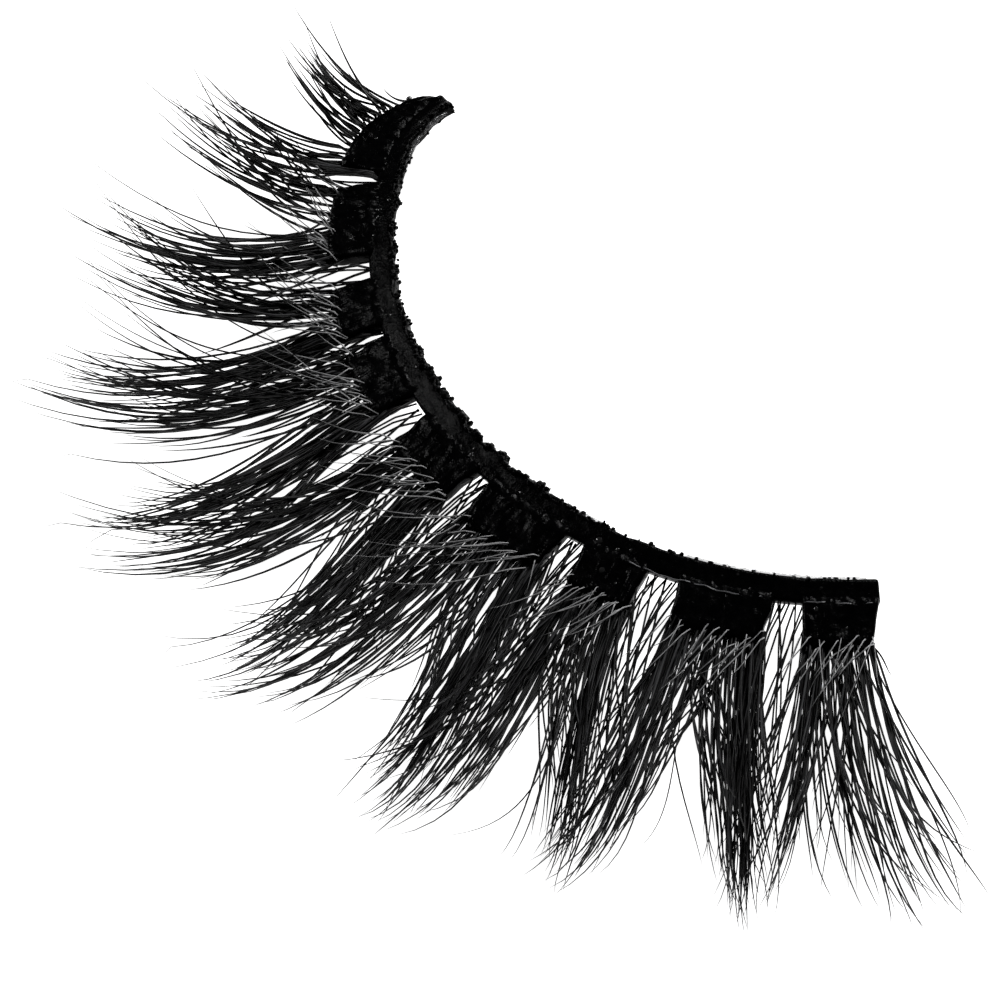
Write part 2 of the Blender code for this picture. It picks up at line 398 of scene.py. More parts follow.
def fibre_widths(count, rings, width, rng, thin_from=0.45):
    """Full width over the lower part of a fibre, then thinner and thinner."""
    part = np.linspace(0, 1, rings)[None]
    fade = np.clip((part - thin_from) / (1 - thin_from), 0, 1)
    own = rng.uniform(0.78, 1.15, (count, 1))
    return width * own * (1 - 0.9 * fade ** 1.6)


def turned(ways, degrees):
    """Plan directions turned by degrees."""
    angle = np.radians(degrees)
    cos, sin = np.cos(angle), np.sin(angle)
    return np.stack([ways[:, 0] * cos - ways[:, 1] * sin, ways[:, 0] * sin + ways[:, 1] * cos], -1)


def unit(ways):
    """The same directions, one long."""
    return ways / np.linalg.norm(ways, axis=-1, keepdims=True)


def fibre_paths(
    share, start_run, leaving, firm, tips, rise, lift, bow, rings=13, root_rise=-0.05 * MM,
):
    """Paths from the roots in the glue to the tips: out over the pads, down and up again.

    A fibre leaves the band at an angle, firmly or less so, and comes to its tip with a bow.
    """
    root, outward = eye_places(share)
    start = root + outward * start_run[:, None]
    chord = tips - start
    length = np.linalg.norm(chord, axis=-1)
    ahead = chord / length[:, None]
    first = start + unit(turned(outward, leaving) + (1 - firm) * ahead) * (length * 0.36)[:, None]
    second = tips - unit(turned(ahead, bow * 14)) * (length * 0.33)[:, None]
    part = np.linspace(0, 1, rings)[None, :, None]
    flat = (
        start[:, None] * (1 - part) ** 3
        + first[:, None] * 3 * part * (1 - part) ** 2
        + second[:, None] * 3 * part ** 2 * (1 - part)
        + tips[:, None] * part ** 3
    )
    wave = np.sin(share * 7000)[:, None, None] * np.sin(part * 5.2 + (share * 900)[:, None, None])
    aside = np.stack([-ahead[:, 1], ahead[:, 0]], -1)[:, None]
    flat = flat + aside * wave * part * SWAY
    part = part[..., 0]
    run = start_run[:, None] + length[:, None] * part
    height = fringe_heights(share[:, None], run)
    buried = height[:, 0] + root_rise
    height = height + rise[:, None] * (1 - part) ** 0.6 + lift[:, None] * part ** 1.8
    height[:, 0] = np.minimum(height[:, 0], buried)
    height = np.maximum(height, LOWEST - SHIFT[2])
    over = np.maximum(height + SHIFT[2] - HIGHEST, 0.0)
    height = height - over * RISE_LOST
    return np.concatenate([flat, height[..., None]], -1) + SHIFT


def pad_gaps():
    """Shares of the band between which no pad stands."""
    spans = list(PADS.values())
    return [(before[1], after[0]) for before, after in zip(spans, spans[1:])]


def rooted(share, rng):
    """Move shares that fall in a gap of the pads onto the nearer pad."""
    share = LAST_ROOT - np.abs(LAST_ROOT - share)
    share = FIRST_ROOT + np.abs(share - FIRST_ROOT)
    margin = 0.004
    for low, high in pad_gaps():
        inside = (share > low - margin) & (share < high + margin)
        inset = margin + 0.022 * rng.random(len(share))
        nearer = np.where(share < (low + high) / 2, low - inset, high + inset)
        share = np.where(inside, nearer, share)
    return share


def combed(rng, count, low, high, loose=0.35):
    """Evenly spaced places with a little disorder."""
    step = (high - low) / count
    return low + step * (np.arange(count) + 0.5 + rng.uniform(-loose, loose, count))


class Bundle:
    """The fibres of one spike, gathered before they become a mesh."""

    def __init__(self, number, row):
        self.name, self.inner, self.outer, foot, lean, self.reach, _dip, curl, low, high = row
        self.rng = np.random.default_rng(40 + number)
        self.number = number
        self.curl = curl * UPPER_LIFT
        self.middle, self.half = (self.inner + self.outer) / 2, (self.outer - self.inner) / 2
        self.fan_middle, self.fan = (low + high) / 2, (high - low) / 2
        self.longer = 1.06 if 3 <= number <= 5 else 1.0
        base, outward = eye_places(np.array([foot]))
        self.base, self.way = base, turned(outward, np.array([float(lean)]))
        self.aside = np.stack([-self.way[:, 1], self.way[:, 0]], -1)
        self.groups = []

    def tips(self, aim, far):
        """Plan places of tips, at an aim across the spike's fan and a share of its reach."""
        aim = self.fan_middle + np.clip(aim, -1.3, 1.05) * self.fan
        return (
            self.base + self.way * (self.longer * self.reach * LONGEST_REACH * far)[:, None]
            + self.aside * (aim * self.half * BAND_LENGTH)[:, None]
        )

    def add(
        self, across, tips, lift, width,
        start=(0.7, 1.0), leaving=0.0, firm=0.3, rise=(-0.2, 0.36), bare=False,
    ):
        """Add fibres from places across the spike to their tips; bare ones root in the band."""
        count, rng = len(across), self.rng
        share = self.middle + across * self.half
        share = share if bare else rooted(share, rng)
        start_run = pad_reach(share) * rng.uniform(*start, count)
        rise = rng.uniform(*rise, count) * MM
        lift = np.broadcast_to(lift, count) + self.curl
        paths = fibre_paths(
            share, start_run, np.broadcast_to(leaving, count), firm, tips, rise, lift,
            rng.normal(0, 0.5, count),
        )
        self.groups.append((paths, fibre_widths(count, paths.shape[1], width, rng)))

    def made(self):
        """All fibres as one mesh."""
        paths = np.concatenate([group[0] for group in self.groups])
        widths = np.concatenate([group[1] for group in self.groups])
        return fibres(self.name + "_fibres", paths, widths, self.number)


def gap_fibres(bundle, sizes, full):
    """Fibres that root in the band and cross either way in a gap between two pads."""
    rng = bundle.rng
    for inner, outer in pad_gaps():
        if not bundle.inner < (inner + outer) / 2 < bundle.outer:
            continue
        low, high = (np.array([inner, outer]) - bundle.middle) / bundle.half
        for side, wide, turn, some in ((-1, 0.55, 19, 1.0), (1, 0.4, 11, 0.4)):
            n = max(int(sizes.gap_fibres * full * some), 3)
            before = wide * (0.3 - 0.5 * (side > 0))
            across = combed(rng, n, low - before, high + wide * 0.8, 0.5)
            across = across if side < 0 else low + high - across
            aim = side * combed(rng, n, 0.0, 1.1, 0.5)
            bundle.add(
                across, bundle.tips(aim, rng.uniform(0.62, 1.1, n)),
                np.abs(rng.normal(0, 0.4, n)) * MM, sizes.fibre_width * 0.85, start=(0.3, 0.4),
                leaving=side * rng.normal(turn, 6, n), firm=0.8, rise=(0.0, 0.35), bare=True,
            )


def spike_fibres(number, row, sizes):
    """Every fibre of one spike: locks, wide and web fibres, crossing, loose and curled ones."""
    bundle = Bundle(number, row)
    rng, reach = bundle.rng, bundle.reach
    full = FULLNESS[number]
    curly = 2 <= number <= 5
    last = number == len(SPIKES) - 1
    width = sizes.fibre_width
    for place, length, raised, fibre_count in LOCKS:
        n = max(round(fibre_count * full), 2)
        across = combed(rng, n, place - 0.17, place + 0.17)
        aim = place * 0.9 + (across - place) * 0.35 + rng.normal(0, 0.07, n)
        far = length * (1.04 - np.abs(rng.normal(0, 0.1, n)))
        lift = raised * UPPER_LIFT * reach + np.abs(rng.normal(0, 0.6 if curly else 0.3, n)) * MM
        bundle.add(
            across, bundle.tips(aim, far), lift, width,
            leaving=across * (9 if last else -2), firm=0.2 if number < 2 else 0.7,
        )
    n = int(sizes.bridges * full)
    across = combed(rng, n, -1.1, 1.1) + rng.uniform(-0.6, 0.6, n)
    aside = np.abs(across)
    aim = np.where(aside > 0.8, across * 0.85 + rng.normal(0, 0.2, n), rng.uniform(-1, 1, n))
    far = rng.uniform(0.6, 1.15, n) - (0.0 if last else 0.35) * np.clip(aside - 0.6, 0, 1)
    bundle.add(
        across, bundle.tips(aim, far), np.abs(rng.normal(0, 0.6, n)) * MM, width * 0.95,
        leaving=across * (8 if last else -2) + rng.normal(0, 5, n),
        firm=0.2 if number < 2 else 0.75,
    )
    for side in (-1, 1):
        n = int(sizes.web * full)
        if number > 4 and not (last and side > 0):
            across = side * combed(rng, n, 0.85, 1.5)
            bundle.add(
                across, bundle.tips(side * rng.uniform(0.75, 1.25, n), rng.uniform(0.5, 0.95, n)),
                np.abs(rng.normal(0, 0.4, n)) * MM, width * 0.9,
                leaving=side * rng.normal(3, 4, n), firm=0.95,
            )
        n = int(sizes.crossing * full)
        across = combed(rng, n, -0.45 if side < 0 else -1.1, 1.1 if side < 0 else 0.45)
        aim = side * combed(rng, n, -0.3, 1.0) + across * 0.1
        bundle.add(
            across, bundle.tips(aim, rng.uniform(0.6, 1.15, n)),
            np.abs(rng.normal(0, 0.6, n)) * MM, width * 0.9,
            leaving=side * rng.uniform(10, 24, n), firm=0.6,
        )
    gap_fibres(bundle, sizes, full)
    n = int(sizes.loose * max(full, 0.6))
    across = rng.uniform(-1.0, 1.0, n)
    bundle.add(
        across, bundle.tips(across * 0.8 + rng.normal(0, 0.6, n), rng.uniform(0.9, 1.28, n)),
        rng.uniform(-0.1, 1.8, n) * MM, width * 0.8,
    )
    n = int(sizes.curled * (1.0 if curly else 0.4))
    across = rng.uniform(-0.9, 0.9, n)
    bundle.add(
        across, bundle.tips(rng.normal(-0.5, 0.8, n), rng.uniform(0.9, 1.15, n)),
        rng.uniform(1.5, 3.0, n) * MM, width * 0.75, start=(0.85, 1.1), rise=(0.36, 0.45),
    )
    return bundle.made()


class Wire:
    """A socket of a node tree, with the arithmetic of its Math nodes."""

    def __init__(self, board, socket):
        self.board = board
        self.socket = socket

    def _math(self, operation, first, second=0.0):
        return self.board.node("ShaderNodeMath", {"operation": operation}, {0: first, 1: second})

    def __add__(self, other):
        return self._math("ADD", self, other)

    __radd__ = __add__

    def __mul__(self, other):
        return self._math("MULTIPLY", self, other)

    __rmul__ = __mul__

    def __sub__(self, other):
        return self._math("SUBTRACT", self, other)

    def __rsub__(self, other):
        return self._math("SUBTRACT", other, self)


class Board:
    """The node tree of one material."""

    def __init__(self, name):
        self.material = bpy.data.materials.new(name)
        self.material.use_nodes = True
        self.tree = self.material.node_tree
        self.shader = self.tree.nodes["Principled BSDF"]

    def node(self, kind, settings=None, values=None, output=0):
        """Add a node with its settings and socket values, and give one of its outputs."""
        made = self.tree.nodes.new(kind)
        for key, value in (settings or {}).items():
            setattr(made, key, value)
        for key, value in (values or {}).items():
            self.put(made.inputs[key], value)
        return Wire(self, made.outputs[output])

    def put(self, socket, value):
        """Link a wire to a socket, or set the socket's own value."""
        if isinstance(value, Wire):
            self.tree.links.new(value.socket, socket)
        else:
            socket.default_value = value

    def surface(self, **values):
        """Set or link the shader's sockets, and give the material."""
        for key, value in values.items():
            self.put(self.shader.inputs[key.replace("_", " ")], value)
        return self.material

    def own_place(self):
        """Object coordinates."""
        return self.node("ShaderNodeTexCoord", None, None, 3)

    def streaks(self, place, along, across):
        """Fibre coordinates, stretched along the fibre and across from one to the next."""
        return self.node("ShaderNodeMapping", None, {0: place, 3: (along, across, 1.0)})

    def spread(self, value, low, high):
        """A value stretched so that low gives 0 and high gives 1."""
        return self.node("ShaderNodeMapRange", None, {0: value, 1: low, 2: high, 3: 0.0, 4: 1.0})

    def grain(self, coordinates, scale, detail=2.0):
        """Noise between 0 and 1."""
        return self.node(
            "ShaderNodeTexNoise", None,
            {"Vector": coordinates, "Scale": scale, "Detail": detail, "Roughness": 0.55},
        )

    def mixed(self, amount, first, second):
        """A colour between two."""
        return self.node(
            "ShaderNodeMix", {"data_type": "RGBA"},
            {0: amount, 6: (*first, 1.0), 7: (*second, 1.0)}, 2,
        )

    def relief(self, height, strength, distance):
        """A bump for the shader's normal."""
        return self.node(
            "ShaderNodeBump", None,
            {"Height": height, "Strength": strength, "Distance": distance},
        )


def fibre_surface(sizes):
    """Black fibre whose roughness differs from fibre to fibre, with painted glints: a paler grey
    base colour on stretches of some fibres.
    """
    board = Board("black lash fibre with painted glints")
    place = board.node("ShaderNodeUVMap", {"uv_map": "fibre"})
    own = board.grain(board.streaks(place, 3.0, 180.0), 1.0)
    fine = board.grain(board.streaks(place, 60.0, 900.0), 1.0, 3.0)
    # Painted glint: where the noise is high, the fibre's base colour turns from black to the paler
    # grey.
    painted_glint_mask = board.spread(own, 0.52, 0.66)
    colour = board.mixed(painted_glint_mask, tuple(sizes.black), tuple(sizes.painted_glint_grey))
    board.shader.inputs["Specular IOR Level"].default_value = 0.12
    return board.surface(
        Base_Color=colour,
        Roughness=0.26 + 0.3 * own + 0.08 * fine,
        Normal=board.relief(fine, 0.2, 0.00002),
    )


def painted_glint_down_surface():
    """The finest fibres, with a painted glint: a grey base colour, strongest near the root and
    fading towards the tip.
    """
    board = Board("fine lash fibre with painted glint")
    place = board.node("ShaderNodeUVMap", {"uv_map": "fibre"})
    own = board.grain(board.streaks(place, 4.0, 150.0), 1.0)
    along = board.node("ShaderNodeSeparateXYZ", None, {0: place})
    # Painted glint: noise mixes near-black up to light grey, fading along the fibre towards its
    # tip.
    colour = board.mixed(1.1 * own * (1 - 0.75 * along), (0.01, 0.01, 0.01), (0.62, 0.62, 0.63))
    return board.surface(Base_Color=colour, Roughness=0.22 + 0.2 * own)


def glue_surface(name, colour, scale):
    """Lumpy black glue, glossy where it pooled and duller over the fibres."""
    board = Board(name)
    place = board.own_place()
    lumps = board.grain(place, 2600 * scale, 3.0)
    dust = board.grain(place, 14000 * scale)
    pooled = board.spread(lumps, 0.42, 0.62)
    board.shader.inputs["Specular IOR Level"].default_value = 0.035
    shade = board.mixed(dust, colour, tuple(c * 1.6 for c in colour))
    height = lumps * 0.7 + dust * 0.3
    return board.surface(
        Base_Color=shade,
        Roughness=0.26 - 0.18 * pooled + 0.08 * dust,
        Normal=board.relief(height, 0.8, 0.00006),
    )


def film_surface(sizes):
    """Dried clear glue, milky and shiny."""
    board = Board("dried clear glue")
    place = board.own_place()
    cloud = board.grain(place, 4200, 3.0)
    board.material.surface_render_method = "BLENDED"
    return board.surface(
        Base_Color=board.mixed(cloud, tuple(sizes.film_grey), (0.16, 0.16, 0.165)),
        Roughness=0.08 + 0.2 * cloud,
        Alpha=0.12 + 0.5 * cloud,
        Normal=board.relief(cloud, 0.4, 0.00004),
    )


def deselect_all():
    """Leave edit mode and deselect every object."""
    if bpy.context.object and bpy.context.object.mode != "OBJECT":
        bpy.ops.object.mode_set(mode="OBJECT")
    bpy.ops.object.select_all(action="DESELECT")


def long_block(name, length, depth, thickness, corner, cuts, across_cuts):
    """A bevelled block with its start corner at the origin, cut along its length and depth."""
    deselect_all()
    bpy.ops.mesh.primitive_cube_add(size=1, location=(length / 2, depth / 2, thickness / 2))
    block = bpy.context.object
    block.name = name
    block.scale = (length, depth, thickness)
    bpy.ops.object.transform_apply(location=True, rotation=False, scale=True)
    bevel = block.modifiers.new("rounded edges", "BEVEL")
    bevel.width = corner
    bevel.segments = 3
    bpy.ops.object.modifier_apply(modifier=bevel.name)
    for axis, count in ((0, cuts), (1, across_cuts)):
        bpy.ops.object.mode_set(mode="EDIT")
        bpy.ops.mesh.select_mode(type="EDGE")
        bpy.ops.mesh.select_all(action="DESELECT")
        bpy.ops.object.mode_set(mode="OBJECT")
        mesh = block.data
        floor = 0.5 * (length, depth)[axis]
        for edge in mesh.edges:
            first, second = (mesh.vertices[i].co for i in edge.vertices)
            edge.select = abs((second - first)[axis]) > floor
        bpy.ops.object.mode_set(mode="EDIT")
        bpy.ops.mesh.subdivide(number_cuts=count)
        bpy.ops.object.mode_set(mode="OBJECT")
    return block


def laid_on_band(block, share_of, run_of, relief):
    """Bend a straight block onto the band's course, with its relief."""
    mesh = block.data
    flat = np.zeros(len(mesh.vertices) * 3)
    mesh.vertices.foreach_get("co", flat)
    flat = flat.reshape(-1, 3)
    share = share_of(flat)
    run = run_of(share, flat)
    offset = flat[:, 2] + relief(flat)
    mesh.vertices.foreach_set("co", band_points(share, run, offset).ravel())
    mesh.update()
    mesh.shade_smooth()


def rough(points, scale, seed):
    """Smooth noise between -1 and 1 at each point."""
    aside = Vector((seed, 0, 0))
    return np.array([noise.noise(Vector(point) * scale + aside) for point in points])


def line(values):
    """Points on a line, to read noise along it."""
    return np.stack([values, values * 0, values * 0], 1)


def root_pad(name, inner, outer, sizes, material):
    """One block of glued roots: fibre ridges that run outwards, under lumps of glue."""
    length = (outer - inner) * BAND_LENGTH
    depth = PAD_REACH - BAND_DEPTH
    block = long_block(name + "_glued", length, depth, PAD_THICKNESS, 0.15 * MM, 60, 16)
    seed = inner * 90
    middle = (inner + outer) / 2

    def share_of(flat):
        share = inner + flat[:, 0] / BAND_LENGTH
        part = flat[:, 1] / depth
        side = (share - middle) / (outer - middle)
        frayed = rough(line(part * 2.4 + np.sign(side) * 9), 1.0, seed) * 0.05 * np.abs(side) ** 6
        ends = np.where(side > 0, (outer > 0.99) * (1 - outer), -(inner < 0.01) * inner)
        return middle + (share - middle) * (1 - sizes.pad_taper * part * np.abs(side)) + (
            frayed * side * (outer - inner) * part + ends * np.abs(side) * (1 - part)
        )

    def run_of(share, flat):
        start = BAND_DEPTH - (0.30 + 0.16 * rough(line(share * 130), 1.0, seed + 2)) * MM
        part = flat[:, 1] / depth
        teeth = rough(line(share * 1500), 1.0, seed) * 0.08
        teeth = teeth + rough(line(share * 300), 1.0, seed) * 0.12
        hook = 0.4 * np.clip((0.10 - share) / 0.05, 0, 1)
        return start + (pad_reach(share) - start + (teeth - hook) * MM * part ** 3) * part

    def relief(flat):
        upper = flat[:, 2] / PAD_THICKNESS
        ridges = rough(flat * np.array([1, 0.08, 0]), 11000, seed) * sizes.ridge
        lumps = rough(flat, 1700, seed + 5) * 0.07 * MM + rough(flat, 5200, seed + 8) * 0.03 * MM
        sunk = 0.09 * MM * np.clip(1 - flat[:, 1] / (0.3 * MM), 0, 1)
        return (ridges * flat[:, 1] / depth + lumps - sunk) * upper

    laid_on_band(block, share_of, run_of, relief)
    return finish_piece(block, material, "root_glue", name)


def calm(share):
    """How smooth the band is: 0 where its glue is lumpy, 1 towards the outer corner."""
    return np.clip((share - 0.70) / 0.05, 0, 1)


def edge_lumps(share):
    """How far lumps push the band's inner edge out or in, in mm."""
    return rough(line(share * 150), 1.0, 6.0) * 0.10 + rough(line(share * 46), 1.0, 8.0) * 0.16


def thread_band(material):
    """The ridge of thread and glue that carries every root."""
    block = long_block(
        "lash_band_thread", BAND_LENGTH, BAND_DEPTH, BAND_THICKNESS, 0.13 * MM, 480, 6,
    )

    def run_of(share, flat):
        out = flat[:, 1]
        edge = (rough(line(share * 520), 1.0, 3.0) * 0.09 + edge_lumps(share)) * MM
        return out + edge * (1 - out / BAND_DEPTH) * (1 - 0.85 * calm(share))

    def relief(flat):
        upper = flat[:, 2] / BAND_THICKNESS
        lumps = rough(flat, 1500, 1.0) * 0.06 * MM + rough(flat, 5200, 7.0) * 0.05 * MM
        return lumps * upper * (1 - 0.6 * calm(flat[:, 0] / BAND_LENGTH))

    laid_on_band(block, lambda flat: flat[:, 0] / BAND_LENGTH, run_of, relief)
    return finish_piece(block, material, "band_thread", "lash_band")


def cut_roots(sizes, material):
    """Cut root ends and beads of glue that crumble along the band's inner edge."""
    rng = np.random.default_rng(5)
    n = sizes.stubs
    share = rng.uniform(0.002, 0.998, n)
    crowd = 0.55 + 0.45 * rough(line(share * 190), 1.0, 4.0)
    crowd *= 1 - 0.8 * np.clip((share - 0.68) / 0.06, 0, 1)
    share = share[rng.random(n) < np.clip(crowd * 1.3, 0.06, 1)]
    n = len(share)
    coarser = np.interp(share, (0.36, 0.42, 0.66, 0.70), (1, 1.5, 1.5, 1))
    size = rng.uniform(0.035, 0.085, n) * coarser * MM
    run = (edge_lumps(share) * (1 - 0.85 * calm(share)) + rng.uniform(-0.03, 0.09, n)) * MM
    low = rng.uniform(0.08, 0.56, n) * MM
    radii = size[:, None] * rng.uniform(0.7, 1.7, (n, 3))
    beads = scattered("cut_roots", bead_shape(), share, run, low, radii.T)
    return finish_piece(beads, material, "root_glue")


def scattered(name, shape, share, run, offset, radii):
    """One mesh of the same small shape at many places on the band."""
    corners, shape_faces = shape
    along, out, up = (corners[None, :, axis] * radii[axis][:, None] for axis in range(3))
    points = band_points(
        share[:, None] + along / BAND_LENGTH, run[:, None] + out, offset[:, None] + up,
    )
    count, each = points.shape[:2]
    faces = [
        tuple(base + corner for corner in face)
        for base in range(0, count * each, each) for face in shape_faces
    ]
    return joined_mesh(name, points, faces)


def bead_shape():
    """Points and faces of a bead of six sides."""
    rings = ((0.62, -0.7), (1.0, 0.0), (0.62, 0.7))
    points = [
        (math.cos(math.pi / 3 * side) * wide, math.sin(math.pi / 3 * side) * wide, high)
        for wide, high in rings for side in range(6)
    ]
    points += [(0.0, 0.0, -1.0), (0.0, 0.0, 1.0)]
    faces = []
    for side in range(6):
        after = (side + 1) % 6
        faces += [(after, side, 18), (12 + side, 12 + after, 19)]
        faces += [
            (ring + side, ring + after, ring + 6 + after, ring + 6 + side) for ring in (0, 6)
        ]
    return np.array(points), faces


def drop_shape():
    """Points and faces of a low drop: a dome of eight sides with a flat underside."""
    rings = ((1.0, 0.0), (0.86, 0.45), (0.5, 0.82))
    points = [
        (math.cos(math.pi / 4 * side) * wide, math.sin(math.pi / 4 * side) * wide, high)
        for wide, high in rings for side in range(8)
    ]
    points.append((0.0, 0.0, 1.0))
    faces = [tuple(range(7, -1, -1))]
    for ring in (0, 8):
        for side in range(8):
            after = (side + 1) % 8
            faces.append((ring + side, ring + after, ring + 8 + after, ring + 8 + side))
    faces += [(16 + side, 16 + (side + 1) % 8, 24) for side in range(8)]
    return np.array(points), faces


def glue_specks(sizes, material):
    """Small shiny drops of glue on the roots and the band."""
    rng = np.random.default_rng(9)
    n = sizes.specks
    spans = np.array(list(PADS.values()))
    pick = spans[rng.integers(0, len(spans), n)]
    share = pick[:, 0] + (pick[:, 1] - pick[:, 0]) * rng.uniform(0.1, 0.9, n)
    run = pad_reach(share) * rng.uniform(0.06, 0.9, n)
    wide = rng.uniform(0.03, 0.10, n) * MM
    large = np.array(DROPS).T
    share, run = np.append(share, large[0]), np.append(run, large[1] * MM)
    wide = np.append(wide, large[2] * MM / 2)
    n = len(share)
    long = wide * rng.uniform(0.6, 1.5, n)
    high = np.minimum(wide, long) * rng.uniform(0.3, 0.6, n)
    ground = np.where(run < BAND_DEPTH, BAND_THICKNESS, PAD_THICKNESS - 0.03 * MM) - 0.03 * MM
    drops = scattered("glue_specks", drop_shape(), share, run, ground, (wide, long, high))
    return finish_piece(drops, material, "root_glue")


def glue_film(name, inner, outer, material, seed):
    """A thin uneven film of clear glue along the band's inner edge."""
    length = (outer - inner) * BAND_LENGTH
    depth, thickness = 0.30 * MM, 0.22 * MM
    cuts = max(int(length / (0.09 * MM)), 6)
    block = long_block(name, length, depth, thickness, 0.08 * MM, cuts, 3)

    def run_of(share, flat):
        wave = 0.5 + 0.5 * rough(line(share * 260), 1.0, seed)
        ends = np.clip(np.minimum(share - inner, outer - share) / 0.012, 0.0, 1.0)
        return 0.16 * MM - (0.20 + 0.12 * wave) * MM * ends * (1 - flat[:, 1] / depth)

    def relief(flat):
        ends = np.clip(np.minimum(flat[:, 0], length - flat[:, 0]) / (0.8 * MM), 0.0, 1.0)
        thin = (flat[:, 2] - thickness / 2) * (0.85 - 0.7 * ends)
        return 0.16 * MM + rough(flat, 2600, seed) * 0.05 * MM - thin

    laid_on_band(block, lambda flat: inner + flat[:, 0] / BAND_LENGTH, run_of, relief)
    return finish_piece(block, material, "root_glue")


def binding_thread(name, inner, outer, material):
    """A stretch of the thread that ties the roots down, along the outer edge of the ridge."""
    stations = int((outer - inner) * 260)
    share = np.linspace(inner, outer, stations)
    run = BAND_DEPTH + (np.sin(share * 310) * 0.02 + np.sin(share * 97 + 1) * 0.03) * MM
    offset = BAND_THICKNESS + (0.07 + 0.03 * np.sin(share * 230)) * MM
    path = band_points(share, run, offset)[None]
    thread = fibres(name, path, np.full((1, stations), 0.06 * MM), 3)
    return finish_piece(thread, material, "band_thread")


def down_fibres(sizes, material):
    """Very fine fibres that fan out over the ends of the root pads."""
    rng = np.random.default_rng(21)
    share, lean, far = [], [], []
    for inner, outer in list(PADS.values())[1:]:
        middle = (inner + outer) / 2
        left = np.clip((0.72 - middle) / 0.1, 0, 1)
        for n, low, high, turn, wide, length in (
            (sizes.down, inner, outer, -26 - 18 * left, 6, 3.0 + 1.6 * left),
            (sizes.down // 2, middle, outer, -34 - 18 * left, 7, 2.4 + 2.4 * left),
            (sizes.down // 3, inner, outer, -4, 12, 2.6),
        ):
            share.append(combed(rng, n, low, high))
            lean.append(rng.normal(turn, wide, n))
            far.append(rng.uniform(0.5, 1.4, n) * length)
    share, lean = np.concatenate(share), np.concatenate(lean)
    far = np.concatenate(far) * MM * np.interp(share, FEET, REACHES)
    start_run = pad_reach(share) * (0.86 + 0.3 * rng.random(len(share)) ** 1.5)
    root, outward = eye_places(share)
    tips = root + outward * start_run[:, None] + turned(outward, lean) * far[:, None]
    rise = (0.56 - 0.25 * (start_run / pad_reach(share) - 0.88)) * MM
    lift = rng.uniform(0.2, 1.2, len(share)) * MM
    bow = rng.normal(0, 0.8, len(share))
    rings = 10
    paths = fibre_paths(share, start_run, lean, 0.5, tips, rise, lift, bow, rings, 0.3 * MM)
    widths = fibre_widths(len(share), rings, sizes.down_width, rng, 0.3)
    return finish_piece(fibres("fine_down", paths, widths, 33), material, "lash_fibre")


def stray_fibres(sizes):
    """Single fibres that have come away from the spikes."""
    rng = np.random.default_rng(64)
    rows = np.array(STRAYS)
    share, leaving = rows[:, 0], rows[:, 1]
    start_run = pad_reach(share) * 0.95
    root, outward = eye_places(share)
    tips = root + turned(outward, rows[:, 2]) * (rows[:, 3] * MM)[:, None]
    lift, bow = rows[:, 4] * MM, rows[:, 5]
    rise = np.full(len(rows), 0.3 * MM)
    rings = 25
    paths = fibre_paths(share, start_run, leaving, 0.8, tips, rise, lift, bow, rings)
    widths = fibre_widths(len(rows), rings, sizes.fibre_width * 0.62, rng, 0.5)
    return fibres("stray_fibres", paths, widths, 64)


class LASHES_OT_fibres(bpy.types.Operator):
    """Make the fibres of the ten spikes, the strays and the down."""

    bl_idname = "lashes.fibres"
    bl_label = "Fibres"

    def execute(self, context):
        sizes = context.scene.lash_sizes
        material = fibre_surface(sizes)
        for number, row in enumerate(SPIKES):
            finish_piece(spike_fibres(number, row, sizes), material, "lash_fibre", row[0])
        finish_piece(stray_fibres(sizes), material, "lash_fibre")
        down_fibres(sizes, painted_glint_down_surface())
        return {"FINISHED"}


class LASHES_OT_roots(bpy.types.Operator):
    """Make the glued root pads."""

    bl_idname = "lashes.roots"
    bl_label = "Root pads"

    def execute(self, context):
        sizes = context.scene.root_sizes
        material = glue_surface("glued roots", tuple(sizes.glue_black), 1.0)
        for name, (inner, outer) in PADS.items():
            root_pad(name, inner, outer, sizes, material)
        return {"FINISHED"}


class LASHES_OT_band(bpy.types.Operator):
    """Make the thread band, its cut roots and its binding thread."""

    bl_idname = "lashes.band"
    bl_label = "Thread band"

    def execute(self, context):
        sizes = context.scene.root_sizes
        thread_band(glue_surface("black thread in glue", tuple(sizes.glue_black), 1.4))
        cut_roots(sizes, glue_surface("cut root ends", tuple(sizes.glue_black), 2.0))
        board = Board("clear binding thread")
        cloud = board.grain(board.own_place(), 5200)
        thread = board.surface(
            Base_Color=board.mixed(cloud, (0.01, 0.01, 0.01), (0.16, 0.16, 0.17)),
            Roughness=0.18 + 0.2 * cloud,
        )
        for number, (inner, outer) in enumerate(THREAD_SPANS):
            binding_thread(f"binding_thread_{number + 1}", inner, outer, thread)
        return {"FINISHED"}


class LASHES_OT_glue(bpy.types.Operator):
    """Make the clear glue along the band and the drops on the roots."""

    bl_idname = "lashes.glue"
    bl_label = "Glue"

    def execute(self, context):
        sizes = context.scene.root_sizes
        film = film_surface(sizes)
        for number, (inner, outer) in enumerate(FILM_SPANS):
            glue_film(f"glue_film_{number + 1}", inner, outer, film, number * 7.0)
        board = Board("black glue drops")
        cloud = board.grain(board.own_place(), 9000)
        glue_specks(sizes, board.surface(
            Base_Color=board.mixed(cloud, (0.003, 0.003, 0.003), (0.02, 0.02, 0.02)),
            Roughness=0.06 + 0.16 * cloud,
        ))
        return {"FINISHED"}


